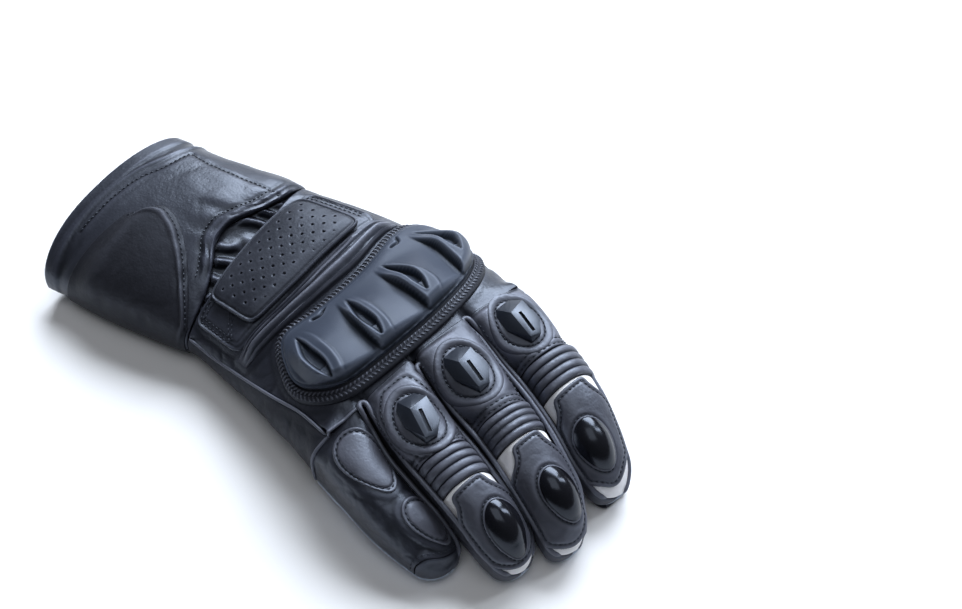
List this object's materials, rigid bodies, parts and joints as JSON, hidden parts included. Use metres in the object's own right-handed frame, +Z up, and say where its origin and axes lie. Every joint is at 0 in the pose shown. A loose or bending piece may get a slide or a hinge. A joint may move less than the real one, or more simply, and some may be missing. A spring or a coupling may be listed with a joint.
{
  "type": "leather motorcycle glove",
  "caption": "Long-cuffed leather motorcycle glove for the right hand: hollow to wear, with a vented hard knuckle guard, finger guards, padded panels and an open cuff.",
  "frame": {"origin": "middle of the glove's length and width, on the surface it lies on", "axes": "+Z up away from the surface, +Y toward the fingertips, thumb on the -X side and little finger on the +X side"},
  "size_m": [0.166, 0.2902, 0.0599],
  "materials": {
    "black_leather": "smooth black full-grain leather with a blue-black sheen",
    "grey_leather": "matte light blue-grey palm leather",
    "white_leather": "smooth white leather",
    "guard_plastic": "satin dark slate moulded plastic",
    "gloss_plastic": "polished black plastic",
    "elastic": "shirred black elastic cloth"
  },
  "bodies": {
    "root": {"cuff_back": "black_leather", "cuff_palm": "black_leather", "cuff_flap": "black_leather", "cuff_strap": "grey_leather", "wrist_gather": "elastic", "hand_back": "black_leather", "outer_side": "black_leather", "heel_panel": "black_leather", "hand_palm": "grey_leather", "palm_slider": "black_leather", "grip_patch": "black_leather", "back_pad_base": "black_leather", "back_pad": "black_leather", "guard_roll": "black_leather", "guard_border": "black_leather", "knuckle_guard": "guard_plastic", "index_back": "black_leather", "index_ribs": "black_leather", "index_tip": "white_leather", "index_palm": "grey_leather", "index_fourchette": "black_leather", "index_bolster": "black_leather", "index_guard": "guard_plastic", "index_tip_panel": "black_leather", "index_dome": "gloss_plastic", "middle_back": "black_leather", "middle_ribs": "black_leather", "middle_tip": "white_leather", "middle_palm": "grey_leather", "middle_fourchette_by_ring": "black_leather", "middle_fourchette_by_index": "black_leather", "middle_bolster": "black_leather", "middle_guard": "guard_plastic", "middle_tip_panel": "black_leather", "middle_dome": "gloss_plastic", "ring_back": "black_leather", "ring_ribs": "black_leather", "ring_tip": "white_leather", "ring_palm": "grey_leather", "ring_fourchette_by_little": "black_leather", "ring_fourchette_by_middle": "black_leather", "ring_bolster": "black_leather", "ring_guard": "guard_plastic", "ring_tip_panel": "black_leather", "ring_dome": "gloss_plastic", "little_back": "black_leather", "little_tip": "black_leather", "little_palm": "grey_leather", "little_fourchette": "black_leather", "thumb_back": "black_leather", "thumb_tip": "black_leather", "thumb_palm": "grey_leather", "little_pad_root": "black_leather", "little_pad_end": "black_leather", "index_tip_patch": "black_leather"}
  },
  "joints": []
}
